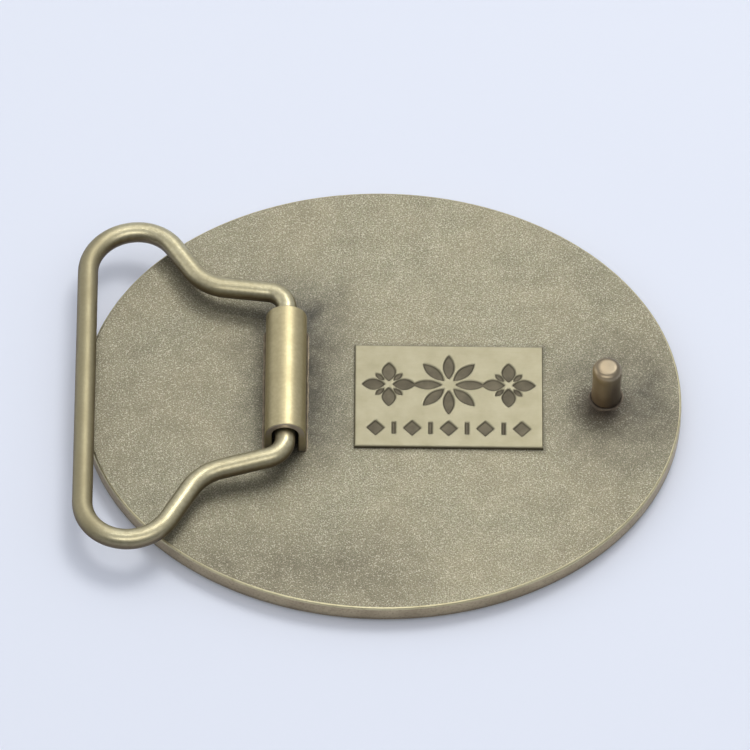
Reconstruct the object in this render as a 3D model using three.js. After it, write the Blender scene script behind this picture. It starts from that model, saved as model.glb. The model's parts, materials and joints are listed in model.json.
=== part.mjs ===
// Oval western belt buckle in antique brass, lying face down.
//
// Millimetres, +Z up. The origin is the centre of the oval at the front face, which is the surface
// that the buckle rests on, so the back of the buckle looks up. +X runs along the long axis of the
// oval, from the wire bail (which holds the belt) to the stud (which takes the belt's tip), and +Y
// runs across the belt.
//
// The bail is one bent wire. It turns in a folded brass barrel soldered to the back, and is shown
// where it falls by its own weight, with its bar just clear of the rim of the plate.

import * as THREE from 'three';

// Oval plate
const PLATE_LENGTH = 82;
const PLATE_WIDTH = 70;
const PLATE_THICKNESS = 3;
const BACK_CHAMFER = 0.3;
const FRONT_ROUND = 0.7;
const FACE_RIM = 2.6;
const CHANNEL_WIDTH = 4.2;
const CHANNEL_DEPTH = 0.8;
const BACK_FIELD_INSET = 16;
const OVAL_SIDES = 96;

// Bail wire and the bends that shape it
const WIRE_DIAMETER = 2.8;
const WIRE_END_GAP = 0.6;
const HINGE_BEND = 3;
const THROAT_BEND = 6.8;
const SHOULDER_BEND = 6.3;
const BAR_BEND = 6.5;
const THROAT_REACH = 11.4;
const SHOULDER_REACH = 17.5;
const BAR_REACH = 27.5;
const THROAT_FLARE = 2.35;
const LOOP_HALF_WIDTH = 25.8;
const WIRE_SIDES = 16;
const WIRE_STEPS = 124;

// Hinge barrel: a strip folded over the wire, its two legs standing on the plate
const BARREL_LENGTH = 20;
const BARREL_WALL = 1;
const BORE_CLEARANCE = 0.4;
const LEG_HEIGHT = 0.9;
const END_PLAY = 0.45;
const BARREL_Y = 0.8;

// The bail is loose in its barrel, so its throat stands a little to one side of its loop
const NECK_Y = 1.25;
const LOOP_Y = 0.35;
const RIM_LAP = 0.4;
const REST_GAP = 0.1;

// Stud for the holes of the belt
const STUD_DIAMETER = 4;
const STUD_HEIGHT = 7.2;
const STUD_TIP_ROUND = 1;
const STUD_INSET = 10.35;
const STUD_Y = 0.5;
const STUD_SIDES = 32;

// Raised tag with the maker's ornament
const TAG_LENGTH = 25.8;
const TAG_WIDTH = 17;
const TAG_HEIGHT = 0.5;
const TAG_SHIFT = 0.4;
const TAG_Y = 0.1;

// Solder fillets at the feet of the barrel and the stud
const BARREL_FILLET = 0.7;
const STUD_FILLET = 0.6;
const FILLET_STEPS = 5;

// Sizes that follow from the ones above
const wireRadius = WIRE_DIAMETER / 2;
const boreRadius = wireRadius + BORE_CLEARANCE;
const barrelRadius = boreRadius + BARREL_WALL;
const hingeRise = barrelRadius + LEG_HEIGHT;
const hingeZ = PLATE_THICKNESS + hingeRise;
const restTilt = Math.asin((hingeRise - wireRadius - REST_GAP) / BAR_REACH);
const hingeX = RIM_LAP + BAR_REACH * Math.cos(restTilt) - PLATE_LENGTH / 2;
const studX = PLATE_LENGTH / 2 - STUD_INSET;
const tagX = (hingeX + studX) / 2 + TAG_SHIFT;
const neckHalfWidth = BARREL_LENGTH / 2 + END_PLAY + HINGE_BEND;
const throatHalfWidth = neckHalfWidth + THROAT_FLARE;

function brass(color, roughness) {
  return new THREE.MeshStandardMaterial({ color, roughness, metalness: 1 });
}

const blastedBrass = brass(0xa79f86, 0.62);
const tumbledBrass = brass(0xc4b98c, 0.3);
const tagBrass = brass(0xd2cb9c, 0.4);
const solder = brass(0x6f6656, 0.6);

function addMesh(parent, name, geometry, material) {
  const mesh = new THREE.Mesh(geometry, material);
  mesh.name = name;
  parent.add(mesh);
  return mesh;
}

// A quarter turn of a rounded edge, from angle start to angle end, as profile points.
function arcPoints(centreX, centreY, radius, start, end, steps) {
  const points = [];
  for (let i = 0; i <= steps; i += 1) {
    const angle = start + ((end - start) * i) / steps;
    points.push(new THREE.Vector2(centreX + radius * Math.cos(angle), centreY + radius * Math.sin(angle)));
  }
  return points;
}

// Turns a profile about +Z. Profile points are (radius, height), from the bottom to the top.
function turned(profile, sides) {
  const geometry = new THREE.LatheGeometry(profile, sides);
  geometry.rotateX(Math.PI / 2);
  return geometry;
}

// The plate is turned on its long radius, then each ring of points is drawn in across the belt by the
// same distance all round, so that rims and channels keep their width round the oval.
function plateGeometry() {
  const edge = PLATE_LENGTH / 2;
  const channelOuter = edge - FACE_RIM;
  const channelInner = channelOuter - CHANNEL_WIDTH;
  const profile = [
    new THREE.Vector2(0, 0),
    new THREE.Vector2(channelInner, 0),
    new THREE.Vector2(channelInner, CHANNEL_DEPTH),
    new THREE.Vector2(channelOuter, CHANNEL_DEPTH),
    new THREE.Vector2(channelOuter, 0),
    ...arcPoints(edge - FRONT_ROUND, FRONT_ROUND, FRONT_ROUND, -Math.PI / 2, 0, 4),
    new THREE.Vector2(edge, PLATE_THICKNESS - BACK_CHAMFER),
    new THREE.Vector2(edge - BACK_CHAMFER, PLATE_THICKNESS),
    new THREE.Vector2(edge - BACK_FIELD_INSET, PLATE_THICKNESS),
    new THREE.Vector2(0, PLATE_THICKNESS),
  ];
  const geometry = turned(profile, OVAL_SIDES);
  const narrowing = (PLATE_LENGTH - PLATE_WIDTH) / 2;
  const position = geometry.attributes.position;
  for (let i = 0; i < position.count; i += 1) {
    const x = position.getX(i);
    const y = position.getY(i);
    const radius = Math.hypot(x, y);
    if (radius > narrowing) {
      position.setY(i, (y * (radius - narrowing)) / radius);
    }
  }
  return geometry;
}

// A run of straight wire with an arc at each corner. A corner is a point and its bend radius.
function bentRun(corners) {
  const run = new THREE.Path();
  const first = corners[0].at;
  const last = corners[corners.length - 1].at;
  run.moveTo(first.x, first.y);
  for (let i = 1; i < corners.length - 1; i += 1) {
    const { at, bend } = corners[i];
    const toPrevious = corners[i - 1].at.clone().sub(at).normalize();
    const toNext = corners[i + 1].at.clone().sub(at).normalize();
    const halfAngle = Math.acos(toPrevious.dot(toNext)) / 2;
    const middle = toPrevious.clone().add(toNext).normalize();
    const centre = at.clone().addScaledVector(middle, bend / Math.sin(halfAngle));
    const start = at.clone().addScaledVector(toPrevious, bend / Math.tan(halfAngle));
    const end = at.clone().addScaledVector(toNext, bend / Math.tan(halfAngle));
    const startAngle = Math.atan2(start.y - centre.y, start.x - centre.x);
    const endAngle = Math.atan2(end.y - centre.y, end.x - centre.x);
    run.lineTo(start.x, start.y);
    run.absarc(centre.x, centre.y, bend, startAngle, endAngle, toPrevious.cross(toNext) > 0);
  }
  run.lineTo(last.x, last.y);
  return run;
}

// The centre line of the bail in its own plane: x is the reach out from the hinge axis.
function bailRun() {
  const throatY = (NECK_Y + LOOP_Y) / 2;
  const arm = (side) => [
    { at: new THREE.Vector2(0, NECK_Y + side * neckHalfWidth), bend: HINGE_BEND },
    { at: new THREE.Vector2(THROAT_REACH, throatY + side * throatHalfWidth), bend: THROAT_BEND },
    { at: new THREE.Vector2(SHOULDER_REACH, LOOP_Y + side * LOOP_HALF_WIDTH), bend: SHOULDER_BEND },
    { at: new THREE.Vector2(BAR_REACH, LOOP_Y + side * LOOP_HALF_WIDTH), bend: BAR_BEND },
  ];
  return bentRun([
    { at: new THREE.Vector2(0, BARREL_Y + WIRE_END_GAP / 2) },
    ...arm(1),
    ...arm(-1).reverse(),
    { at: new THREE.Vector2(0, BARREL_Y - WIRE_END_GAP / 2) },
  ]);
}

// Lays a flat run out in space, with its reach towards -X.
class BailCentreline extends THREE.Curve {
  constructor(run) {
    super();
    this.run = run;
    this.arcLengthDivisions = 800;
  }

  getPoint(t, target = new THREE.Vector3()) {
    const point = this.run.getPointAt(t);
    return target.set(-point.x, point.y, 0);
  }
}

function wireGeometry() {
  const section = new THREE.Shape();
  section.absarc(0, 0, wireRadius, 0, 2 * Math.PI, false);
  return new THREE.ExtrudeGeometry(section, {
    extrudePath: new BailCentreline(bailRun()),
    steps: WIRE_STEPS,
    curveSegments: WIRE_SIDES / 2,
  });
}

// Extrudes a section drawn in X and Z along the barrel, from one end to the other.
function alongBarrel(section, curveSegments) {
  const geometry = new THREE.ExtrudeGeometry(section, {
    depth: BARREL_LENGTH,
    bevelEnabled: false,
    curveSegments,
  });
  geometry.rotateX(Math.PI / 2);
  geometry.translate(0, BARREL_LENGTH / 2, 0);
  return geometry;
}

// An arch with straight legs, open towards the plate.
function barrelGeometry() {
  const section = new THREE.Shape();
  section.moveTo(barrelRadius, 0);
  section.lineTo(barrelRadius, hingeRise);
  section.absarc(0, hingeRise, barrelRadius, 0, Math.PI, false);
  section.lineTo(-barrelRadius, 0);
  section.lineTo(-boreRadius, 0);
  section.lineTo(-boreRadius, hingeRise);
  section.absarc(0, hingeRise, boreRadius, Math.PI, 0, true);
  section.lineTo(boreRadius, 0);
  return alongBarrel(section, 20);
}

// The hollow face of a solder fillet, from its toe on the plate up to its top on the wall.
function filletPoints(wall, size) {
  return arcPoints(wall + size, size, size, -Math.PI / 2, -Math.PI, FILLET_STEPS);
}

// side is 1 for the fillet towards the stud, -1 for the one towards the bail's bar.
function barrelFilletGeometry(side) {
  const outline = [new THREE.Vector2(barrelRadius, 0), ...filletPoints(barrelRadius, BARREL_FILLET)];
  const section = new THREE.Shape(outline.map((point) => new THREE.Vector2(side * point.x, point.y)));
  return alongBarrel(section, 1);
}

function studGeometry() {
  const radius = STUD_DIAMETER / 2;
  const tip = arcPoints(
    radius - STUD_TIP_ROUND, STUD_HEIGHT - STUD_TIP_ROUND, STUD_TIP_ROUND, 0, Math.PI / 2, 5,
  );
  return turned(
    [new THREE.Vector2(0, 0), new THREE.Vector2(radius, 0), ...tip, new THREE.Vector2(0, STUD_HEIGHT)],
    STUD_SIDES,
  );
}

function studFilletGeometry() {
  const foot = new THREE.Vector2(STUD_DIAMETER / 2, 0);
  return turned([foot, ...filletPoints(foot.x, STUD_FILLET), foot], STUD_SIDES);
}

const buckle = new THREE.Group();
addMesh(buckle, 'face_plate', plateGeometry(), blastedBrass);

// Everything soldered to the back stands on the plate's back face.
const back = new THREE.Group();
back.position.z = PLATE_THICKNESS;
buckle.add(back);

const hinge = new THREE.Group();
hinge.position.set(hingeX, BARREL_Y, 0);
back.add(hinge);
addMesh(hinge, 'hinge_barrel', barrelGeometry(), tumbledBrass);
addMesh(hinge, 'barrel_solder_bar_side', barrelFilletGeometry(-1), solder);
addMesh(hinge, 'barrel_solder_stud_side', barrelFilletGeometry(1), solder);

const studFoot = new THREE.Group();
studFoot.position.set(studX, STUD_Y, 0);
back.add(studFoot);
addMesh(studFoot, 'belt_stud', studGeometry(), tumbledBrass);
addMesh(studFoot, 'stud_solder_ring', studFilletGeometry(), solder);

const tag = addMesh(
  back, 'maker_tag', new THREE.BoxGeometry(TAG_LENGTH, TAG_WIDTH, TAG_HEIGHT), tagBrass,
);
tag.position.set(tagX, TAG_Y, TAG_HEIGHT / 2);

const bail = addMesh(buckle, 'bail_wire', wireGeometry(), tumbledBrass);
bail.position.set(hingeX, 0, hingeZ);
bail.rotation.y = -restTilt;

export default buckle;
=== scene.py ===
# Oval western belt buckle in antique brass, lying face down on a pale table, in metres.
import json
import math

import bmesh
import bpy
from mathutils import Matrix, Vector, noise


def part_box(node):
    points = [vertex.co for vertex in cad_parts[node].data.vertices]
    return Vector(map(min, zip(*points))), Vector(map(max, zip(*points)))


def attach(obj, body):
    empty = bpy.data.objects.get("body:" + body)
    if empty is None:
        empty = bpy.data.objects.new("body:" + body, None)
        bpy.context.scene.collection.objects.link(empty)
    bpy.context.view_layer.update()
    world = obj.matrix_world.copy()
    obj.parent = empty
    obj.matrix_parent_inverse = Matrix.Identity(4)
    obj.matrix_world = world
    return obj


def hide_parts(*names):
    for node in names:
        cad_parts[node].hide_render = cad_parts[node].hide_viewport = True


MM = 0.001

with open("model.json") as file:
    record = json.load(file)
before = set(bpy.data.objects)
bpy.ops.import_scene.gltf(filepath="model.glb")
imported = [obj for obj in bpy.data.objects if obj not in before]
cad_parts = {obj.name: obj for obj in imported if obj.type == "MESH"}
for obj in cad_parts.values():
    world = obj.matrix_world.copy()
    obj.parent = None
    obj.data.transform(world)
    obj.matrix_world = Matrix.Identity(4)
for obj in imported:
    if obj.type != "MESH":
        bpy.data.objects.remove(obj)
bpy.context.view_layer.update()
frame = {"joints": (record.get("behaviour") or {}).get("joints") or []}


# ---------------------------------------------------------------- places, from the frame

plate_low, plate_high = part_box("face_plate")
PLATE_CENTRE = (plate_low + plate_high) / 2
HALF_LENGTH = (plate_high.x - plate_low.x) / 2
HALF_WIDTH = (plate_high.y - plate_low.y) / 2
BACK_Z = plate_high.z
FRONT_Z = plate_low.z

barrel_low, barrel_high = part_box("hinge_barrel")
BARREL_CENTRE = (barrel_low + barrel_high) / 2
BARREL_RADIUS = (barrel_high.x - barrel_low.x) / 2
BARREL_HALF_LENGTH = (barrel_high.y - barrel_low.y) / 2

stud_low, stud_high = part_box("belt_stud")
STUD_CENTRE = (stud_low + stud_high) / 2
STUD_RADIUS = (stud_high.x - stud_low.x) / 2

tag_low, tag_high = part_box("maker_tag")
TAG_CENTRE = (tag_low + tag_high) / 2
TAG_HALF = ((tag_high.x - tag_low.x) / 2, (tag_high.y - tag_low.y) / 2)

bail_low, bail_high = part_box("bail_wire")
HINGE = Vector(frame["joints"][0]["pos_m"])
WIRE_RADIUS = 1.4 * MM
STRIP_THICKNESS = 1.0 * MM
BORE_RADIUS = BARREL_RADIUS - STRIP_THICKNESS
BAR_DROP = HINGE.z - (bail_low.z + WIRE_RADIUS)
BAR_OUT = HINGE.x - (bail_low.x + WIRE_RADIUS)
BAIL_TILT = math.atan2(BAR_DROP, BAR_OUT)
BAR_REACH = math.hypot(BAR_DROP, BAR_OUT)
LOOP_Y = (bail_low.y + bail_high.y) / 2
LOOP_HALF_WIDTH = (bail_high.y - bail_low.y) / 2 - WIRE_RADIUS


# ---------------------------------------------------------------- mesh helpers

SAME_POINT = 1e-7


def new_piece(name, verts, faces, body, replaced=(), materials=(), sharp_deg=35):
    """Makes a smooth-shaded mesh piece that rides on a body and stands for CAD nodes."""
    mesh = bpy.data.meshes.new(name)
    mesh.from_pydata([tuple(v) for v in verts], [], faces)
    tidy = bmesh.new()
    tidy.from_mesh(mesh)
    bmesh.ops.remove_doubles(tidy, verts=tidy.verts, dist=SAME_POINT)
    bmesh.ops.recalc_face_normals(tidy, faces=tidy.faces)
    tidy.to_mesh(mesh)
    tidy.free()
    mesh.polygons.foreach_set("use_smooth", [True] * len(mesh.polygons))
    mesh.set_sharp_from_angle(angle=math.radians(sharp_deg))
    piece = bpy.data.objects.new(name, mesh)
    bpy.context.scene.collection.objects.link(piece)
    for material in materials:
        mesh.materials.append(material)
    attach(piece, body)
    if replaced:
        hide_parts(*replaced)
    return piece


def soften(piece, width, segments=3, angle_deg=40):
    """Rounds the hard edges of a piece, as tumbling does."""
    bevel = piece.modifiers.new("softened_edges", "BEVEL")
    bevel.width = width
    bevel.segments = segments
    bevel.limit_method = "ANGLE"
    bevel.angle_limit = math.radians(angle_deg)
    bevel.harden_normals = True


def arc(cx, cy, radius, start_deg, end_deg, steps):
    """Points on an arc, from start to end."""
    points = []
    for i in range(steps + 1):
        angle = math.radians(start_deg + (end_deg - start_deg) * i / steps)
        points.append((cx + radius * math.cos(angle), cy + radius * math.sin(angle)))
    return points


def ring_faces(rings, sides, first=0, closed=True):
    """Quads between rings of equal size, laid one after another."""
    faces = []
    span = sides if closed else sides - 1
    for k in range(rings - 1):
        for i in range(span):
            j = (i + 1) % sides
            a = first + k * sides
            faces.append((a + i, a + j, a + sides + j, a + sides + i))
    return faces


def smooth_step(low, high, value):
    """0 at low and 1 at high, with a gentle start and end. low may be the larger of the two."""
    t = min(1.0, max(0.0, (value - low) / (high - low)))
    return t * t * (3 - 2 * t)


# ---------------------------------------------------------------- material helpers

def to_linear(hex_colour):
    """An sRGB hex colour such as 'a79f86' as a linear RGBA tuple."""
    channels = [int(hex_colour[i:i + 2], 16) / 255 for i in (0, 2, 4)]
    linear = [c / 12.92 if c <= 0.04045 else ((c + 0.055) / 1.055) ** 2.4 for c in channels]
    return (*linear, 1.0)


def add(tree, kind, inputs=None, **settings):
    """Adds a node with its settings. An input is a value, or a socket to link to it."""
    node = tree.nodes.new(kind)
    for key, value in settings.items():
        setattr(node, key, value)
    for key, value in (inputs or {}).items():
        if isinstance(value, bpy.types.NodeSocket):
            tree.links.new(value, node.inputs[key])
        else:
            node.inputs[key].default_value = value
    return node


def per_metre(size_mm):
    """The texture scale whose features are about that many millimetres across."""
    return 1000.0 / size_mm


def new_material(name):
    """A node material with an empty tree, its output and its metal shader."""
    material = bpy.data.materials.new(name)
    material.use_nodes = True
    tree = material.node_tree
    tree.nodes.clear()
    shader = add(tree, "ShaderNodeBsdfPrincipled", {"Metallic": 1.0})
    add(tree, "ShaderNodeOutputMaterial", {"Surface": shader.outputs["BSDF"]})
    place = add(tree, "ShaderNodeTexCoord").outputs["Object"]
    return material, tree, shader, place


def cloud(tree, place, size_mm, detail=2.0, stretch=(1, 1, 1), roughness=0.5):
    """Noise from 0 to 1 with features of that size."""
    where = place
    if stretch != (1, 1, 1):
        where = add(tree, "ShaderNodeMapping", {"Vector": place, "Scale": stretch}).outputs[0]
    settings = {"Vector": where, "Scale": per_metre(size_mm), "Detail": detail, "Roughness": roughness}
    return add(tree, "ShaderNodeTexNoise", settings).outputs["Fac"]


def part_of(tree, vector, axis):
    """One of the three parts of a vector, X, Y or Z."""
    return add(tree, "ShaderNodeSeparateXYZ", {0: vector}).outputs[axis]


def ramp(tree, value, low, high, to_low=0.0, to_high=1.0):
    """Maps a value between two limits, held at both ends."""
    settings = {"Value": value, "From Min": low, "From Max": high, "To Min": to_low, "To Max": to_high}
    return add(tree, "ShaderNodeMapRange", settings, clamp=True).outputs[0]


def calc(tree, operation, a, b=0.0):
    """One step of arithmetic, held between 0 and 1."""
    return add(tree, "ShaderNodeMath", {0: a, 1: b}, operation=operation, use_clamp=True).outputs[0]


def blend_colours(tree, factor, a, b):
    """Colour a where factor is 0, colour b where it is 1. Each is a hex colour or a socket."""
    settings = {"Factor": factor}
    node = add(tree, "ShaderNodeMix", settings, data_type="RGBA")
    for socket, colour in ((node.inputs[6], a), (node.inputs[7], b)):
        if isinstance(colour, str):
            socket.default_value = to_linear(colour)
        else:
            tree.links.new(colour, socket)
    return node.outputs[2]


ANY_HEIGHT = 1.0


def near_block(tree, place, centre, half_size, fade):
    """1 within a block, seen from above, falling to 0 at the fade distance from it."""
    flat = (half_size[0], half_size[1], ANY_HEIGHT)
    offset = add(tree, "ShaderNodeVectorMath", {0: place, 1: tuple(centre)}, operation="SUBTRACT")
    size = add(tree, "ShaderNodeVectorMath", {0: offset.outputs[0]}, operation="ABSOLUTE")
    outside = add(tree, "ShaderNodeVectorMath", {0: size.outputs[0], 1: flat}, operation="SUBTRACT")
    kept = add(tree, "ShaderNodeVectorMath", {0: outside.outputs[0], 1: (0, 0, 0)}, operation="MAXIMUM")
    distance = add(tree, "ShaderNodeVectorMath", {0: kept.outputs[0]}, operation="LENGTH")
    return ramp(tree, distance.outputs["Value"], 0.0, fade, 1.0, 0.0)


def bump(tree, heights):
    """Stacks bumps. heights is a list of (height socket, depth in mm, strength)."""
    normal = None
    for height, depth_mm, strength in heights:
        inputs = {"Height": height, "Distance": depth_mm * MM, "Strength": strength}
        if normal is not None:
            inputs["Normal"] = normal
        normal = add(tree, "ShaderNodeBump", inputs).outputs[0]
    return normal


def facing(tree, axis):
    """How much the surface faces along X, Y or Z, from -1 to 1. It turns with the piece."""
    return part_of(tree, add(tree, "ShaderNodeTexCoord").outputs["Normal"], axis)


def connect(tree, shader, colour, roughness, normal):
    """Joins a finish's three results to its shader."""
    tree.links.new(colour, shader.inputs["Base Color"])
    tree.links.new(roughness, shader.inputs["Roughness"])
    tree.links.new(normal, shader.inputs["Normal"])


# ---------------------------------------------------------------- materials

BARREL_HEAT_SHIFT = Vector((1.4, 3.2, 0)) * MM
STUD_HEAT_SHIFT = Vector((3, -1, 0)) * MM
STUD_SHADOW_SHIFT = Vector((-0.8, -1.5, 0)) * MM
CORNER_SHADE_SHIFT = Vector((-11, -29, 0)) * MM


def blasted_antique_brass():
    """Sand-blasted, antique-brass plated casting: an even, dull grain with painted highlights on
    scattered grains for its sparkle, painted shade darkening it towards both ends and one corner
    and round the tag's foot, a painted shadow by the stud's foot, and dark where brazing heated
    it round barrel and stud."""
    material, tree, shader, place = new_material("sand_blasted_antique_brass")
    pits = cloud(tree, place, 0.2, 1.0, roughness=0.6)
    fine_pits = cloud(tree, place, 0.13, 0.0)
    painted_glint_noise = cloud(tree, place, 0.17, 0.0)
    clouds = cloud(tree, place, 11, 3.0)
    smudges = cloud(tree, place, 3.2, 3.0, roughness=0.6)

    # Heat colours: broad round barrel and stud. Painted shade along the tag's edge, and a painted shadow at
    # the stud's foot on the side its shadow falls
    barrel_heat = near_block(tree, place, BARREL_CENTRE + BARREL_HEAT_SHIFT,
                             (0.7 * BARREL_RADIUS, BARREL_HALF_LENGTH), 10 * MM)
    stud_heat = near_block(tree, place, STUD_CENTRE + STUD_HEAT_SHIFT, (2 * MM, 2 * MM), 12 * MM)
    # Painted shade: a dark ring on the plate round the tag's foot
    painted_tag_foot_shade = near_block(tree, place, TAG_CENTRE, TAG_HALF, 0.9 * MM)
    # Painted shadow: darkens the plate beside the stud's foot, towards the lower left where the stud's
    # shadow falls
    stud_foot_dark = near_block(tree, place, STUD_CENTRE + STUD_SHADOW_SHIFT, (1.3 * MM, 0.9 * MM), 3.6 * MM)
    heat_and_tag_shade = calc(tree, "MAXIMUM", calc(tree, "POWER", barrel_heat, 1.6),
                calc(tree, "MULTIPLY", stud_heat, 0.78))
    heat_and_tag_shade = calc(tree, "MAXIMUM", heat_and_tag_shade, calc(tree, "MULTIPLY", painted_tag_foot_shade, 0.5))
    heat_and_tag_shade = calc(tree, "MULTIPLY", heat_and_tag_shade, ramp(tree, smudges, 0.2, 0.8, 0.65, 1.15))

    # The grain itself, light and dark, with a green cast here and a warm one there
    grain_colour = blend_colours(tree, ramp(tree, pits, 0.34, 0.66), "6f6a5a", "a19c86")
    tint = ramp(tree, cloud(tree, place, 0.4, 0.0), 0.35, 0.65, 0.0, 0.3)
    grain_colour = blend_colours(tree, tint, grain_colour, "7f8064")
    warm = blend_colours(tree, ramp(tree, clouds, 0.3, 0.7, 0.0, 0.3), grain_colour, "988d74")

    # Painted shade: a brown-grey darkening towards the bail's end, the stud's end and one corner, where the
    # light falls off
    along = part_of(tree, place, "X")
    film = ramp(tree, along, PLATE_CENTRE.x - HALF_LENGTH, PLATE_CENTRE.x, 0.3, 0.0)
    film = calc(tree, "ADD", film, ramp(tree, along, TAG_CENTRE.x + 8 * MM, stud_high.x, 0.0, 0.26))
    corner = near_block(tree, place, PLATE_CENTRE + CORNER_SHADE_SHIFT, (11 * MM, 1 * MM), 10 * MM)
    film = calc(tree, "MAXIMUM", film, calc(tree, "MULTIPLY", corner, 0.6))
    film = calc(tree, "MULTIPLY", film, ramp(tree, smudges, 0.25, 0.75, 0.8, 1.2))
    # painted shade from the film mask above
    filmed = blend_colours(tree, film, warm, "6a6454")
    # the heated colour here also carries the painted shade round the tag's foot
    heated = blend_colours(tree, ramp(tree, heat_and_tag_shade, 0.0, 1.0, 0.0, 0.85), filmed, "44423f")
    # painted shadow at the stud's foot
    with_stud_shadow = blend_colours(tree, calc(tree, "MULTIPLY", stud_foot_dark, 0.75), heated, "3a332e")

    # Painted highlights: a pale colour on scattered grains for the sparkle, nearly gone where brazing
    # darkened the metal and in the painted stud shadow
    heat_and_stud_shadow = calc(tree, "MAXIMUM", calc(tree, "MULTIPLY", heat_and_tag_shade, 0.8), stud_foot_dark)
    painted_glint = calc(tree, "MULTIPLY", ramp(tree, painted_glint_noise, 0.6, 0.7, 0.0, 0.36),
                 ramp(tree, heat_and_stud_shadow, 0.0, 0.9, 1.0, 0.12))
    colour = blend_colours(tree, painted_glint, with_stud_shadow, "d2ceb9")
    uneven = ramp(tree, smudges, 0.25, 0.75, -0.18, 0.18)
    roughness = ramp(tree, calc(tree, "ADD", fine_pits, uneven), 0.3, 0.8, 0.5, 0.68)
    connect(tree, shader, colour, roughness, bump(tree, [
        (clouds, 0.05, 0.35), (pits, 0.05, 0.75), (fine_pits, 0.03, 0.6),
    ]))
    return material


def drawn_antique_brass():
    """Drawn and tumbled brass wire under antique plating: a soft olive-tan gloss with faint draw
    lines, darker and rougher on the bar, its darker colour a painted shade that dims the bar's
    highlight, and painted shade darkening its underside."""
    material, tree, shader, place = new_material("drawn_antique_brass_wire")
    lines = cloud(tree, place, 0.18, 3.0, stretch=(1, 0.1, 1), roughness=0.6)
    film = cloud(tree, place, 4.5, 4.0, roughness=0.6)
    specks = cloud(tree, place, 0.5, 2.0)
    patchy = ramp(tree, film, 0.3, 0.7, -0.12, 0.12)
    # Painted shade: the underside, facing down, takes a dark brown colour
    upward = add(tree, "ShaderNodeMath", {0: facing(tree, "Z"), 1: patchy}, operation="ADD").outputs[0]
    under = ramp(tree, upward, 0.1, 0.7, 0.85, 0.0)
    rubbed = blend_colours(tree, ramp(tree, specks, 0.35, 0.65), "b5ac8b", "c1b998")
    filmed = blend_colours(tree, ramp(tree, film, 0.42, 0.75, 0.0, 0.45), rubbed, "9b9070")
    # Painted shade: a darker colour on the bar dims its highlight; the bar is also made rougher
    bar = ramp(tree, part_of(tree, place, "X"), bail_low.x + 2.6 * MM, bail_low.x + 6 * MM, 1.0, 0.0)
    bar_shaded = blend_colours(tree, calc(tree, "MULTIPLY", bar, 0.75), filmed, "8d8467")
    colour = blend_colours(tree, under, bar_shaded, "5e4f3f")
    roughness = ramp(tree, film, 0.3, 0.7, 0.34, 0.42)
    roughness = calc(tree, "ADD", roughness, calc(tree, "MULTIPLY", bar, 0.16))
    connect(tree, shader, colour, roughness, bump(tree, [(lines, 0.012, 0.35), (specks, 0.02, 0.25)]))
    return material


def folded_strip_brass():
    """Rolled brass strip, folded, tumbled and plated: a brighter satin gloss than the wire's, painted
    shade darkening its foot by the plate, and a painted highlight making its arch's cut ends pale grey."""
    material, tree, shader, place = new_material("folded_antique_brass_strip")
    lines = cloud(tree, place, 0.16, 3.0, stretch=(1, 0.06, 1), roughness=0.6)
    film = cloud(tree, place, 4.0, 4.0, roughness=0.6)
    specks = cloud(tree, place, 0.5, 2.0)
    height = part_of(tree, place, "Z")
    # Painted shade: darker along the foot, where the legs meet the plate
    foot = ramp(tree, height, BACK_Z, BACK_Z + 1.8 * MM, 0.7, 0.0)
    foot = calc(tree, "MULTIPLY", foot, ramp(tree, film, 0.25, 0.7, 0.7, 1.1))
    # Painted highlight: the cut ends, most at the top of the arch, coloured pale grey
    end = ramp(tree, calc(tree, "ABSOLUTE", facing(tree, "Y")), 0.75, 0.97, 0.0, 0.8)
    end = calc(tree, "MULTIPLY", end, ramp(tree, height, HINGE.z - 0.6 * MM, HINGE.z + 0.9 * MM, 0.25, 1.0))
    bright = blend_colours(tree, ramp(tree, specks, 0.35, 0.65), "b3a781", "bdb18a")
    filmed = blend_colours(tree, ramp(tree, film, 0.42, 0.75, 0.0, 0.4), bright, "a19572")
    colour = blend_colours(tree, foot, filmed, "463a38")
    colour = blend_colours(tree, end, colour, "cdc3c2")
    roughness = ramp(tree, film, 0.3, 0.7, 0.4, 0.48)
    connect(tree, shader, colour, roughness, bump(tree, [(lines, 0.012, 0.35), (specks, 0.02, 0.2)]))
    return material


def dark_turned_brass():
    """Turned stud, heated by brazing: a brown oxide film over satin brass, darker and greyer on its +X
    side as painted shade, lighter towards the tip, dark on its cap, with fine rings from the lathe."""
    material, tree, shader, place = new_material("heat_browned_turned_brass")
    shader.inputs["Metallic"].default_value = 0.93
    rings = cloud(tree, place, 0.2, 2.0, stretch=(0.05, 0.05, 1))
    film = cloud(tree, place, 2.2, 4.0, roughness=0.6)
    height = part_of(tree, place, "Z")
    worn = ramp(tree, height, BACK_Z + 3.5 * MM, stud_high.z, 0.0, 0.4)
    worn = calc(tree, "MULTIPLY", worn, ramp(tree, film, 0.3, 0.7, 0.6, 1.1))
    # Painted shade: darker and greyer on the +X side
    painted_side_shade = ramp(tree, part_of(tree, place, "X"), STUD_CENTRE.x - 0.6 * MM, STUD_CENTRE.x + 0.8 * MM)
    browned = blend_colours(tree, ramp(tree, film, 0.35, 0.7), "cdb38f", "d8c2a0")
    browned = blend_colours(tree, painted_side_shade, browned, "8d8072")
    cap = ramp(tree, height, stud_high.z - 0.5 * MM, stud_high.z - 0.1 * MM, 0.0, 0.8)
    colour = blend_colours(tree, cap, blend_colours(tree, worn, browned, "bdb08c"), "746a58")
    roughness = ramp(tree, film, 0.3, 0.7, 0.3, 0.45)
    connect(tree, shader, colour, roughness, bump(tree, [(rings, 0.02, 0.4), (film, 0.03, 0.2)]))
    return material


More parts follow.
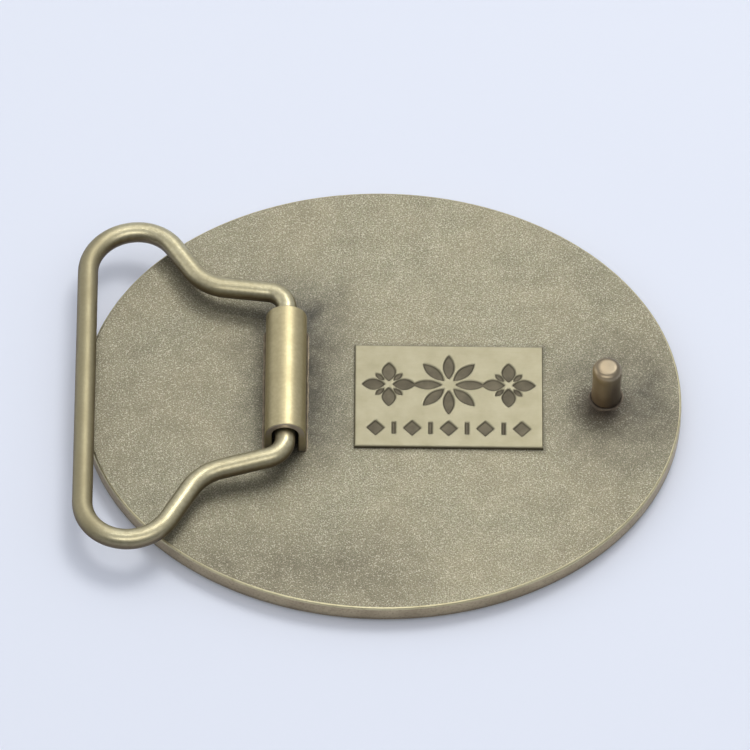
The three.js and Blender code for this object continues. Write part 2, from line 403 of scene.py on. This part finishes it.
def relieved_tag_brass():
    """Stamped brass tag, blackened and then rubbed back: pale satin high face and edge with fine
    rubbing lines, dark brown patina left in the stamped hollows, and darker down the sides."""
    material, tree, shader, place = new_material("rubbed_back_stamped_brass")
    height = part_of(tree, place, "Z")
    rubbing = cloud(tree, place, 0.2, 3.0, stretch=(0.12, 1, 1), roughness=0.65)
    film = cloud(tree, place, 3.0, 4.0, roughness=0.6)
    sunk = ramp(tree, height, tag_high.z - 0.16 * MM, tag_high.z - 0.05 * MM, 1.0, 0.0)
    inner_half = (TAG_HALF[0] - 0.4 * MM, TAG_HALF[1] - 0.4 * MM)
    stamped = calc(tree, "MULTIPLY", sunk, near_block(tree, place, TAG_CENTRE, inner_half, 0.1 * MM))
    # Darker down the tag's sides, below its rounded edge
    side = ramp(tree, height, tag_high.z - 0.3 * MM, tag_high.z - 0.18 * MM, 1.0, 0.0)
    hollow = calc(tree, "MAXIMUM", stamped, side)
    face = blend_colours(tree, ramp(tree, film, 0.35, 0.7), "98927a", "8d876e")
    face = blend_colours(tree, ramp(tree, rubbing, 0.45, 0.75, 0.0, 0.25), face, "8d8669")
    stain = blend_colours(tree, ramp(tree, film, 0.35, 0.65), "5b5547", "6f6857")
    colour = blend_colours(tree, hollow, face, stain)
    roughness = ramp(tree, hollow, 0.0, 1.0, 0.5, 0.62)
    connect(tree, shader, colour, roughness, bump(tree, [(rubbing, 0.012, 0.35), (film, 0.03, 0.15)]))
    return material


def heat_darkened_solder():
    """Silver-solder fillet under the plating: lumpy, dull and nearly black-brown, with brighter
    crowns where the tumbling reached it."""
    material, tree, shader, place = new_material("heat_darkened_solder")
    lumps = cloud(tree, place, 0.9, 3.0)
    pits = cloud(tree, place, 0.25, 2.0)
    plated = blend_colours(tree, ramp(tree, lumps, 0.35, 0.7), "6b6152", "887c67")
    stud_foot_dark = near_block(tree, place, STUD_CENTRE, (STUD_RADIUS, STUD_RADIUS), 2 * MM)
    colour = blend_colours(tree, calc(tree, "MULTIPLY", stud_foot_dark, 0.9), plated, "4f473e")
    roughness = ramp(tree, pits, 0.3, 0.7, 0.42, 0.62)
    connect(tree, shader, colour, roughness, bump(tree, [(lumps, 0.08, 0.5), (pits, 0.02, 0.4)]))
    return material


def satin_rim_brass():
    """The cast edge, linished and tumbled: fine lines round the rim, tan with brown in its pits,
    painted shade darkening it along its foot, duller than the wire."""
    material, tree, shader, place = new_material("linished_rim_brass")
    lines = cloud(tree, place, 0.22, 3.0, stretch=(0.2, 0.2, 1), roughness=0.6)
    film = cloud(tree, place, 5.0, 4.0, roughness=0.6)
    pits = cloud(tree, place, 0.35, 2.0)
    base = blend_colours(tree, ramp(tree, film, 0.3, 0.7), "bfb093", "a8997f")
    pitted = blend_colours(tree, ramp(tree, pits, 0.5, 0.75, 0.0, 0.4), base, "6f624c")
    height = part_of(tree, place, "Z")
    # Painted shade: darker along the foot, where the rim meets the table
    low = ramp(tree, height, FRONT_Z + 0.3 * MM, FRONT_Z + 1.1 * MM, 0.75, 0.0)
    colour = blend_colours(tree, low, pitted, "54483a")
    roughness = ramp(tree, lines, 0.3, 0.7, 0.36, 0.5)
    connect(tree, shader, colour, roughness, bump(tree, [(lines, 0.02, 0.4), (pits, 0.02, 0.3)]))
    return material


def painted_highlight_edge_brass():
    """The narrow rounded edge of the back, coloured brighter than the back as a painted highlight."""
    material, tree, shader, place = new_material("painted_highlight_edge_brass")
    nicks = cloud(tree, place, 0.6, 3.0, roughness=0.7)
    film = cloud(tree, place, 6.0, 3.0)
    # Painted highlight: the pale colour of the whole rounded edge
    base = blend_colours(tree, ramp(tree, film, 0.35, 0.7), "d3caa5", "c1b792")
    colour = blend_colours(tree, ramp(tree, nicks, 0.55, 0.75, 0.0, 0.6), base, "9a8e6d")
    roughness = ramp(tree, nicks, 0.3, 0.7, 0.3, 0.44)
    connect(tree, shader, colour, roughness, bump(tree, [(nicks, 0.03, 0.3)]))
    return material


def antiqued_front_brass():
    """The cast front, blackened and buffed: bright warm brass on what stands proud, dark brown
    patina in channels and engraving, and faint buffing lines."""
    material, tree, shader, place = new_material("buffed_antique_front_brass")
    height = part_of(tree, place, "Z")
    film = cloud(tree, place, 6.0, 4.0, roughness=0.6)
    buffing = cloud(tree, place, 0.3, 3.0, stretch=(0.15, 1, 1), roughness=0.65)
    depth = calc(tree, "ADD", ramp(tree, height, FRONT_Z, FRONT_Z + 0.8 * MM),
                 ramp(tree, film, 0.3, 0.7, -0.1, 0.1))
    hollow = ramp(tree, depth, 0.2, 0.75)
    high = blend_colours(tree, ramp(tree, film, 0.35, 0.7), "d9cc97", "c1b07c")
    colour = blend_colours(tree, hollow, high, "453a2b")
    roughness = ramp(tree, hollow, 0.0, 1.0, 0.26, 0.5)
    connect(tree, shader, colour, roughness, bump(tree, [(buffing, 0.012, 0.35), (film, 0.05, 0.2)]))
    return material


def matte_table():
    """Pale, smooth laminate: almost even, with the faintest mottle, and a faint emission glow,
    painted light that keeps its shadows pale."""
    material, tree, shader, place = new_material("pale_matte_laminate")
    shader.inputs["Metallic"].default_value = 0.0
    mottle = cloud(tree, place, 45, 3.0)
    grain = cloud(tree, place, 0.8, 2.0)
    colour = blend_colours(tree, mottle, "e0e4ed", "e3e7f0")
    # Painted light: the table glows faintly though it is no lamp
    shader.inputs["Emission Color"].default_value = to_linear("e8eeff")
    shader.inputs["Emission Strength"].default_value = 0.07
    connect(tree, shader, colour, ramp(tree, mottle, 0.3, 0.7, 0.5, 0.56), bump(tree, [(grain, 0.01, 0.1)]))
    return material


BLASTED = blasted_antique_brass()
WIRE = drawn_antique_brass()
STRIP = folded_strip_brass()
STUD = dark_turned_brass()
TAG = relieved_tag_brass()
SOLDER = heat_darkened_solder()
RIM = satin_rim_brass()
EDGE = painted_highlight_edge_brass()
FRONT = antiqued_front_brass()


# ---------------------------------------------------------------- the cast plate

OVAL_SIDES = 288
BACK_EDGE_ROUND = 0.36 * MM
FRONT_EDGE_ROUND = 0.7 * MM
FACE_RIM = 2.6 * MM
CHANNEL_WIDTH = 4.2 * MM
CHANNEL_DEPTH = 0.8 * MM
FIELD_DEPTH = 0.35 * MM
MEDALLION_INSET = 25 * MM
MEDALLION_GROOVE = 1.1 * MM
FLOWER_LEAVES = 8
SUN_RAYS = 72
RAY_DEPTH = 0.06 * MM
CHANNEL_LIP = 0.15 * MM
FIELD_BORDER = 1.0 * MM
FIELD_STEP = 0.3 * MM
BACK_RING_INSETS_MM = (33, 26, 18, 10, 4, 1.2, 0.6)
EDGE_STEPS = 6
PLATE_FINISHES = [BLASTED, EDGE, RIM, FRONT]


def oval_ring(inset, z):
    """A ring of points, inset by the same amount on both axes. z is a height, or a function of x,
    y and the inset that gives one."""
    points = []
    for i in range(OVAL_SIDES):
        angle = 2 * math.pi * i / OVAL_SIDES
        x = (HALF_LENGTH - inset) * math.cos(angle)
        y = (HALF_WIDTH - inset) * math.sin(angle)
        height = z(x, y, inset) if callable(z) else z
        points.append(Vector((PLATE_CENTRE.x + x, PLATE_CENTRE.y + y, height)))
    return points


def petals(x, y, count, inner, outer, half_width):
    """How far a point is inside one of a ring of leaf-shaped petals, in metres."""
    radius = math.hypot(x, y)
    step = 2 * math.pi / count
    angle = (math.atan2(y, x) + step / 2) % step - step / 2
    along = radius * math.cos(angle)
    across = abs(radius * math.sin(angle))
    middle = (inner + outer) / 2
    half = (outer - inner) / 2
    swell = 1 - ((along - middle) / half) ** 2
    return half_width * swell - across


def front_height(x, y, inset):
    """The front's field: fine sun rays, and a medallion with a groove and an eight-leaf flower."""
    edge = inset - MEDALLION_INSET
    angle = math.atan2(y / HALF_WIDTH, x / HALF_LENGTH)
    field = FIELD_DEPTH + RAY_DEPTH * math.cos(SUN_RAYS * angle)
    if edge <= -0.4 * MM:
        return FRONT_Z + field
    groove = 0.22 * MM * smooth_step(0.35 * MM, 0.0, abs(edge - MEDALLION_GROOVE))
    leaves = petals(x, y, FLOWER_LEAVES, 1.0 * MM, 8.0 * MM, 1.15 * MM)
    flower = 0.3 * MM * smooth_step(-0.1 * MM, 0.2 * MM, leaves)
    share = smooth_step(-0.4 * MM, 0.1 * MM, edge)
    return FRONT_Z + field * (1 - share) + max(groove, flower) * share


def make_plate():
    """Rings from the middle of the back, over the edge, to the middle of the front."""
    channel_end = FACE_RIM + CHANNEL_WIDTH
    field_start = channel_end + FIELD_BORDER
    profile = [(inset_mm * MM, BACK_Z) for inset_mm in BACK_RING_INSETS_MM]
    profile += arc(BACK_EDGE_ROUND, BACK_Z - BACK_EDGE_ROUND, BACK_EDGE_ROUND, 90, 180, EDGE_STEPS)
    profile += [(0, FRONT_Z + (BACK_Z - FRONT_Z) / 2)]
    profile += arc(FRONT_EDGE_ROUND, FRONT_Z + FRONT_EDGE_ROUND, FRONT_EDGE_ROUND, 180, 270, EDGE_STEPS)
    profile += [
        (FACE_RIM - CHANNEL_LIP, FRONT_Z),
        (FACE_RIM, FRONT_Z + CHANNEL_LIP),
        (FACE_RIM + CHANNEL_LIP, FRONT_Z + CHANNEL_DEPTH),
        (channel_end - CHANNEL_LIP, FRONT_Z + CHANNEL_DEPTH),
        (channel_end, FRONT_Z + CHANNEL_LIP),
        (channel_end + CHANNEL_LIP, FRONT_Z),
        (field_start, FRONT_Z),
        (field_start + 0.1 * MM, FRONT_Z + 0.1 * MM),
    ]
    inset = field_start + FIELD_STEP
    while inset < HALF_WIDTH - 0.35 * MM:
        profile.append((inset, front_height))
        inset += FIELD_STEP

    rings = [oval_ring(inset, z) for inset, z in profile]
    verts = [point for ring in rings for point in ring]
    faces = ring_faces(len(rings), OVAL_SIDES)
    back_middle = len(verts)
    verts.append(Vector((PLATE_CENTRE.x, PLATE_CENTRE.y, BACK_Z)))
    front_middle = len(verts)
    verts.append(Vector((PLATE_CENTRE.x, PLATE_CENTRE.y, FRONT_Z)))
    last_ring = (len(rings) - 1) * OVAL_SIDES
    for i in range(OVAL_SIDES):
        j = (i + 1) % OVAL_SIDES
        faces.append((back_middle, j, i))
        faces.append((front_middle, last_ring + i, last_ring + j))
    plate = new_piece("cast_plate", verts, faces, "plate", ["face_plate"],
                      PLATE_FINISHES)
    finish_plate(plate)


def finish_plate(plate):
    """Back, rounded edge, rim and front each have their own finish."""
    for face in plate.data.polygons:
        centre = face.center
        if centre.z > BACK_Z - 0.02 * MM:
            finish = BLASTED
        elif centre.z > BACK_Z - BACK_EDGE_ROUND:
            finish = EDGE
        elif abs(face.normal.z) < 0.75 and rim_inset(centre) < FRONT_EDGE_ROUND:
            finish = RIM
        else:
            finish = FRONT
        face.material_index = PLATE_FINISHES.index(finish)


def rim_inset(point):
    """Roughly how far a point is in from the plate's edge."""
    oval = math.hypot((point.x - PLATE_CENTRE.x) / HALF_LENGTH, (point.y - PLATE_CENTRE.y) / HALF_WIDTH)
    return (1 - oval) * HALF_WIDTH


ROPE_STRANDS = 3
ROPE_TURNS = 46
ROPE_STEPS = 900
ROPE_SECTION = 20
ROPE_HALF_WIDTH = 1.55 * MM
ROPE_HALF_HEIGHT = 0.62 * MM
ROPE_SUNK = 0.1 * MM


def make_rope_border():
    """The cast rope in the front's channel: three strands that twist as they run round the oval."""
    middle = FACE_RIM + CHANNEL_WIDTH / 2
    long_axis = HALF_LENGTH - middle
    short_axis = HALF_WIDTH - middle
    verts = []
    for i in range(ROPE_STEPS):
        angle = 2 * math.pi * i / ROPE_STEPS
        here = Vector((long_axis * math.cos(angle), short_axis * math.sin(angle), 0))
        ahead = Vector((-long_axis * math.sin(angle), short_axis * math.cos(angle), 0)).normalized()
        side = Vector((ahead.y, -ahead.x, 0))
        twist = ROPE_TURNS * angle
        for k in range(ROPE_SECTION):
            turn = 2 * math.pi * k / ROPE_SECTION
            swell = 0.8 + 0.2 * abs(math.cos(ROPE_STRANDS * (turn + twist) / 2))
            point = PLATE_CENTRE + here + side * (ROPE_HALF_WIDTH * swell * math.cos(turn))
            up = ROPE_HALF_HEIGHT * swell * math.sin(turn)
            height = FRONT_Z + CHANNEL_DEPTH - ROPE_SUNK + up
            verts.append(Vector((point.x, point.y, height)))
    faces = []
    for i in range(ROPE_STEPS):
        for k in range(ROPE_SECTION):
            j = (i + 1) % ROPE_STEPS
            m = (k + 1) % ROPE_SECTION
            faces.append((i * ROPE_SECTION + k, i * ROPE_SECTION + m,
                          j * ROPE_SECTION + m, j * ROPE_SECTION + k))
    new_piece("rope_border", verts, faces, "plate", (), [FRONT], 80)


# ---------------------------------------------------------------- the hinge barrel and its solder

ARCH_STEPS = 40
BARREL_SOFTENING = 0.2 * MM
FILLET_STEPS = 90
FILLET_ROUND_STEPS = 6
FILLET_BURIED = 0.25 * MM


def make_barrel():
    """A brass strip folded into an arch, its legs cut square and its edges softened."""
    rise = HINGE.z - BACK_Z
    outline = [(BARREL_RADIUS, 0.0)]
    outline += arc(0, rise, BARREL_RADIUS, 0, 180, ARCH_STEPS)
    outline += [(-BARREL_RADIUS, 0.0), (-BORE_RADIUS, 0.0)]
    outline += arc(0, rise, BORE_RADIUS, 180, 0, ARCH_STEPS)
    outline += [(BORE_RADIUS, 0.0)]
    verts = []
    for y in (barrel_low.y, barrel_high.y):
        verts += [Vector((BARREL_CENTRE.x + x, y, BACK_Z + z)) for x, z in outline]
    count = len(outline)
    faces = ring_faces(2, count)
    faces.append(tuple(range(count)))
    faces.append(tuple(range(2 * count - 1, count - 1, -1)))
    barrel = new_piece("folded_barrel", verts, faces, "plate", ["hinge_barrel"], [STRIP])
    soften(barrel, BARREL_SOFTENING)


def make_barrel_solder(name, node, side):
    """A hollow fillet along one leg, its width wandering as solder runs. side is 1 for the leg
    towards the stud, -1 for the one towards the bail's bar."""
    verts = []
    for i in range(FILLET_STEPS + 1):
        share = i / FILLET_STEPS
        y = barrel_low.y + (barrel_high.y - barrel_low.y) * share
        slow_lump = noise.noise(Vector((share * 9, 3.1 * side, 0)))
        quick_lump = noise.noise(Vector((share * 31, side, 2)))
        end = smooth_step(0, 0.03, min(share, 1 - share))
        size = (0.34 + 0.12 * (slow_lump + 0.5 * quick_lump)) * MM * (0.4 + 0.6 * end)
        section = [(-FILLET_BURIED, 0.0), *arc(size, size, size, -90, -180, FILLET_ROUND_STEPS),
                   (-FILLET_BURIED, size)]
        for x, z in section:
            verts.append(Vector((BARREL_CENTRE.x + side * (BARREL_RADIUS + x), y, BACK_Z + z)))
    ring = len(verts) // (FILLET_STEPS + 1)
    faces = ring_faces(FILLET_STEPS + 1, ring)
    faces.append(tuple(range(ring)))
    faces.append(tuple(range(len(verts) - 1, len(verts) - 1 - ring, -1)))
    new_piece(name, verts, faces, "plate", [node], [SOLDER], 50)


# ---------------------------------------------------------------- the stud

STUD_SIDES = 72
STUD_TIP_ROUND = 1.0 * MM
STUD_WAIST = 0.06 * MM
STUD_FILLET = 0.36 * MM
STUD_FILLET_STEPS = 7


def turn_profile(name, profile, node, material, wobble=None):
    """Turns a (radius, height) profile about the stud's axis, closed at both ends. wobble, a
    function of the profile's point and the angle, gives a factor for the radius."""
    verts = []
    for k, (radius, height) in enumerate(profile):
        for i in range(STUD_SIDES):
            angle = 2 * math.pi * i / STUD_SIDES
            grow = wobble(k, angle) if wobble else 1.0
            verts.append(Vector((STUD_CENTRE.x + radius * grow * math.cos(angle),
                                 STUD_CENTRE.y + radius * grow * math.sin(angle), height)))
    faces = ring_faces(len(profile), STUD_SIDES)
    faces.append(tuple(range(STUD_SIDES)))
    faces.append(tuple(range(len(verts) - 1, len(verts) - 1 - STUD_SIDES, -1)))
    new_piece(name, verts, faces, "plate", [node], [material], 50)


def make_stud():
    """A plain turned stud with a shallow waist under its rounded tip, which holds the strap."""
    top = stud_high.z
    profile = [
        (STUD_RADIUS * 0.98, BACK_Z),
        (STUD_RADIUS, BACK_Z + 0.15 * MM),
        (STUD_RADIUS, BACK_Z + 1.2 * MM),
        (STUD_RADIUS - STUD_WAIST, BACK_Z + 2.2 * MM),
        (STUD_RADIUS - STUD_WAIST, top - 2.4 * MM),
        (STUD_RADIUS, top - 1.7 * MM),
    ]
    profile += arc(STUD_RADIUS - STUD_TIP_ROUND, top - STUD_TIP_ROUND, STUD_TIP_ROUND, 0, 80, 10)
    profile += [(0.45 * STUD_RADIUS, top - 0.005 * MM), (0.1 * STUD_RADIUS, top)]
    turn_profile("turned_stud", profile, "belt_stud", STUD)


def make_stud_solder():
    """The ring of solder that ran round the stud's foot."""
    fillet = arc(STUD_FILLET, STUD_FILLET, STUD_FILLET, -90, -180, STUD_FILLET_STEPS)
    profile = [(STUD_RADIUS * 0.9, BACK_Z)]
    profile += [(STUD_RADIUS + x, BACK_Z + z) for x, z in fillet]
    profile += [(STUD_RADIUS * 0.9, BACK_Z + STUD_FILLET)]

    def wobble(k, angle):
        """The fillet's toe wanders more than the rest of it."""
        reach = 0.06 if k == 1 else 0.02
        return 1 + reach * noise.noise(Vector((2 * math.cos(angle), 2 * math.sin(angle), 0.5)))

    turn_profile("stud_solder", profile, "stud_solder_ring", SOLDER, wobble)


# ---------------------------------------------------------------- the tag

TAG_GRID = 0.11 * MM
TAG_EDGE_ROUND = 0.16 * MM
STAMP_DEPTH = 0.24 * MM
FLOWER_Y = 1.9 * MM
SIDE_FLOWER_X = 8.2 * MM
BAND_Y = -5.4 * MM
BAND_STEP = 2.5 * MM
BAND_COUNT = 4
LOZENGE_HALF_WIDTH = 1.25 * MM
BAR_HALF_WIDTH = 0.28 * MM
BAR_HALF_HEIGHT = 1.0 * MM
HALF_DIAGONAL = 0.7071


def stamp_inside(x, y):
    """How far a point of the tag is inside the stamped ornament, in metres: a flower of eight
    leaves between two of four with small leaves between them, over a band of lozenges and bars."""
    best = petals(x, y - FLOWER_Y, 8, 0.9 * MM, 5.0 * MM, 0.78 * MM)
    for side in (-1, 1):
        dx = x - side * SIDE_FLOWER_X
        dy = y - FLOWER_Y
        best = max(best, petals(dx, dy, 4, 0.5 * MM, 3.7 * MM, 0.95 * MM))
        best = max(best, petals((dx + dy) * HALF_DIAGONAL, (dy - dx) * HALF_DIAGONAL,
                                4, 0.9 * MM, 2.6 * MM, 0.4 * MM))
    for k in range(-BAND_COUNT, BAND_COUNT + 1):
        dx = abs(x - k * BAND_STEP)
        dy = abs(y - BAND_Y)
        if k % 2 == 0:
            best = max(best, (LOZENGE_HALF_WIDTH - dx - 0.95 * dy) * 0.7)
        else:
            best = max(best, min(BAR_HALF_WIDTH - dx, BAR_HALF_HEIGHT - dy))
    return best


def make_tag():
    """The tag as a fine relief: a flat high face, a softened edge and a stamped ornament."""
    across = round((tag_high.x - tag_low.x) / TAG_GRID)
    deep = round((tag_high.y - tag_low.y) / TAG_GRID)
    verts = []
    for j in range(deep + 1):
        y = tag_low.y + (tag_high.y - tag_low.y) * j / deep
        for i in range(across + 1):
            x = tag_low.x + (tag_high.x - tag_low.x) * i / across
            edge = min(x - tag_low.x, tag_high.x - x, y - tag_low.y, tag_high.y - y)
            fall = max(0.0, 1 - edge / TAG_EDGE_ROUND)
            inside = stamp_inside(x - TAG_CENTRE.x, y - TAG_CENTRE.y)
            sunk = STAMP_DEPTH * smooth_step(-0.06 * MM, 0.14 * MM, inside)
            verts.append(Vector((x, y, tag_high.z - sunk - TAG_EDGE_ROUND * fall * fall)))
    row = across + 1
    faces = []
    for j in range(deep):
        for i in range(across):
            a = j * row + i
            faces.append((a, a + 1, a + row + 1, a + row))
    border = list(range(across)) + [j * row + across for j in range(deep)]
    border += [deep * row + i for i in range(across, 0, -1)] + [j * row for j in range(deep, 0, -1)]
    foot = len(verts)
    verts += [Vector((verts[b].x, verts[b].y, tag_low.z)) for b in border]
    count = len(border)
    for k in range(count):
        n = (k + 1) % count
        faces.append((border[k], foot + k, foot + n, border[n]))
    faces.append(tuple(range(foot + count - 1, foot - 1, -1)))
    new_piece("stamped_tag", verts, faces, "plate", ["maker_tag"], [TAG], 60)


# ---------------------------------------------------------------- the bail

END_PLAY = 0.45 * MM
HINGE_BEND = 3 * MM
THROAT_BEND = 6.8 * MM
SHOULDER_BEND = 6.3 * MM
BAR_BEND = 6.5 * MM
THROAT_REACH = 11.4 * MM
SHOULDER_REACH = 17.5 * MM
THROAT_FLARE = 2.35 * MM
NECK_Y = 1.25 * MM
WIRE_END_GAP = 0.6 * MM
WIRE_SIDES = 40
CUT_END_SHARE = 0.86
BEND_STEPS = 22
STRAIGHT_STEP = 1.2 * MM


def bent_run(corners):
    """Centre line of a wire with an arc at each corner. A corner is ((reach, y), bend radius)."""
    line = [Vector(corners[0][0])]
    for before, (corner, bend), after in zip(corners, corners[1:], corners[2:]):
        at = Vector(corner)
        back = (Vector(before[0]) - at).normalized()
        on = (Vector(after[0]) - at).normalized()
        half = back.angle(on) / 2
        centre = at + (back + on).normalized() * (bend / math.sin(half))
        start = at + back * (bend / math.tan(half)) - centre
        end = at + on * (bend / math.tan(half)) - centre
        sweep = start.angle_signed(end)
        for i in range(BEND_STEPS + 1):
            turned = start.copy()
            turned.rotate(Matrix.Rotation(-sweep * i / BEND_STEPS, 2))
            line.append(centre + turned)
    line.append(Vector(corners[-1][0]))
    return line


def with_straights(line):
    """Adds points along the straight stretches, so that the wire's rings stay evenly spaced."""
    out = [line[0]]
    for a, b in zip(line, line[1:]):
        parts = max(1, round((b - a).length / STRAIGHT_STEP))
        out += [a.lerp(b, k / parts) for k in range(1, parts + 1)]
    return out


def bail_line():
    """The bail's centre line in its own plane, as (reach, y)."""
    neck_half = BARREL_HALF_LENGTH + END_PLAY + HINGE_BEND
    throat_y = (NECK_Y + LOOP_Y) / 2
    throat_half = neck_half + THROAT_FLARE

    def arm(side):
        """The four corners from the hinge to the bar, on one side."""
        return [
            ((0, NECK_Y + side * neck_half), HINGE_BEND),
            ((THROAT_REACH, throat_y + side * throat_half), THROAT_BEND),
            ((SHOULDER_REACH, LOOP_Y + side * LOOP_HALF_WIDTH), SHOULDER_BEND),
            ((BAR_REACH, LOOP_Y + side * LOOP_HALF_WIDTH), BAR_BEND),
        ]

    first = ((0, HINGE.y + WIRE_END_GAP / 2), 0)
    last = ((0, HINGE.y - WIRE_END_GAP / 2), 0)
    return with_straights(bent_run([first, *arm(1), *arm(-1)[::-1], last]))


def make_bail():
    """Sweeps the round wire along its bends, with softened cut ends."""
    line = bail_line()
    verts = []
    out = Vector((-math.cos(BAIL_TILT), 0, -math.sin(BAIL_TILT)))
    up = Vector((-math.sin(BAIL_TILT), 0, math.cos(BAIL_TILT)))
    count = len(line)
    for i, point in enumerate(line):
        ahead = (line[min(i + 1, count - 1)] - line[max(i - 1, 0)]).normalized()
        side = Vector((ahead.y, -ahead.x))
        radius = WIRE_RADIUS * (CUT_END_SHARE if i in (0, count - 1) else 1.0)
        for k in range(WIRE_SIDES):
            turn = 2 * math.pi * k / WIRE_SIDES
            flat = point + side * (radius * math.cos(turn))
            place = HINGE + out * flat.x + up * (radius * math.sin(turn))
            verts.append(Vector((place.x, flat.y, place.z)))
    faces = ring_faces(count, WIRE_SIDES)
    faces.append(tuple(range(WIRE_SIDES)))
    faces.append(tuple(range(len(verts) - 1, len(verts) - 1 - WIRE_SIDES, -1)))
    new_piece("bent_bail", verts, faces, "bail", ["bail_wire"], [WIRE], 50)


make_plate()
make_rope_border()
make_barrel()
make_barrel_solder("solder_bar_side", "barrel_solder_bar_side", -1)
make_barrel_solder("solder_stud_side", "barrel_solder_stud_side", 1)
make_stud()
make_stud_solder()
make_tag()
make_bail()


# ---------------------------------------------------------------- table, light and camera

TABLE_HALF_SIZE = 3.0


def make_table():
    """The flat table, at the height of the plate's front face."""
    mesh = bpy.data.meshes.new("table")
    size = TABLE_HALF_SIZE
    corners = [(-size, -size), (size, -size), (size, size), (-size, size)]
    mesh.from_pydata([(x, y, plate_low.z) for x, y in corners], [], [(0, 1, 2, 3)])
    mesh.materials.append(matte_table())
    table = bpy.data.objects.new("table", mesh)
    bpy.context.scene.collection.objects.link(table)


def direction(azimuth_deg, elevation_deg):
    """A unit vector. Azimuth 0 is the +Y side, behind the buckle as seen; 90 is the +X side."""
    azimuth = math.radians(azimuth_deg)
    elevation = math.radians(elevation_deg)
    level = math.cos(elevation)
    return Vector((level * math.sin(azimuth), level * math.cos(azimuth), math.sin(elevation)))


def make_softbox(name, azimuth_deg, elevation_deg, width, height, brightness,
                 distance=1.2, gloss_only=False):
    """A soft panel that faces the buckle. brightness is how bright its surface looks. A strip with
    gloss_only shows in the metal's gloss and lights nothing else."""
    light = bpy.data.lights.new(name, "AREA")
    light.shape = "RECTANGLE"
    light.size = width
    light.size_y = height
    light.energy = brightness * math.pi * width * height
    panel = bpy.data.objects.new(name, light)
    panel.visible_diffuse = not gloss_only
    toward = direction(azimuth_deg, elevation_deg)
    panel.location = PLATE_CENTRE + toward * distance
    panel.rotation_euler = toward.to_track_quat("Z", "Y").to_euler()
    bpy.context.scene.collection.objects.link(panel)


BRIGHTEST_WAY = (0.05, 0.5, 0.866)


def make_room():
    """A plain bright room: lighter overhead and behind, darker low down on the viewer's side."""
    world = bpy.data.worlds.new("soft_room")
    bpy.context.scene.world = world
    world.use_nodes = True
    tree = world.node_tree
    tree.nodes.clear()
    way = add(tree, "ShaderNodeTexCoord").outputs["Generated"]
    lift = add(tree, "ShaderNodeVectorMath", {0: way, 1: BRIGHTEST_WAY}, operation="DOT_PRODUCT")
    brightness = ramp(tree, lift.outputs["Value"], -0.1, 0.75, 0.25, 0.8)
    background = add(tree, "ShaderNodeBackground", {"Color": to_linear("f4f7ff"), "Strength": brightness})
    add(tree, "ShaderNodeOutputWorld", {"Surface": background.outputs[0]})


VIEW_AZIMUTH = -0.74
VIEW_ELEVATION = 54.3
VIEW_ROLL = 1.26
VIEW_DISTANCE = 1.476
VIEW_LENS = 517
SENSOR_WIDTH = 36
AIM_OFFSET = Vector((-0.97, 3.82, 0)) * MM


def make_camera():
    """A long lens from in front and above, nearly without perspective."""
    azimuth = math.radians(VIEW_AZIMUTH)
    elevation = math.radians(VIEW_ELEVATION)
    level = math.cos(elevation)
    backward = Vector((math.sin(azimuth) * level, -math.cos(azimuth) * level, math.sin(elevation)))
    right = Vector((math.cos(azimuth), math.sin(azimuth), 0))
    up = backward.cross(right)
    roll = math.radians(VIEW_ROLL)
    rolled_right = right * math.cos(roll) + up * math.sin(roll)
    rolled_up = up * math.cos(roll) - right * math.sin(roll)
    aim = Vector((PLATE_CENTRE.x, PLATE_CENTRE.y, BACK_Z)) + AIM_OFFSET
    camera_data = bpy.data.cameras.new("view")
    camera_data.lens = VIEW_LENS
    camera_data.sensor_width = SENSOR_WIDTH
    camera = bpy.data.objects.new("view", camera_data)
    turn = Matrix((rolled_right, rolled_up, backward)).transposed().to_4x4()
    camera.matrix_world = Matrix.Translation(aim + backward * VIEW_DISTANCE) @ turn
    bpy.context.scene.collection.objects.link(camera)
    bpy.context.scene.camera = camera


make_table()
make_room()
make_softbox("key_window", 25, 56, width=0.46, height=0.36, brightness=7.5)
make_softbox("back_panel", 0, 47, width=1.2, height=0.40, brightness=0.6)
make_softbox("overhead_back_strip", 0, 76, width=0.9, height=0.08, brightness=8.0, gloss_only=True)
make_softbox("overhead_front_strip", 180, 54, width=1.2, height=0.10, brightness=10.5, gloss_only=True)
make_softbox("left_wall", -78, 24, width=0.9, height=0.6, brightness=0.9, distance=1.3)
make_camera()
bpy.context.scene.view_settings.view_transform = "Standard"
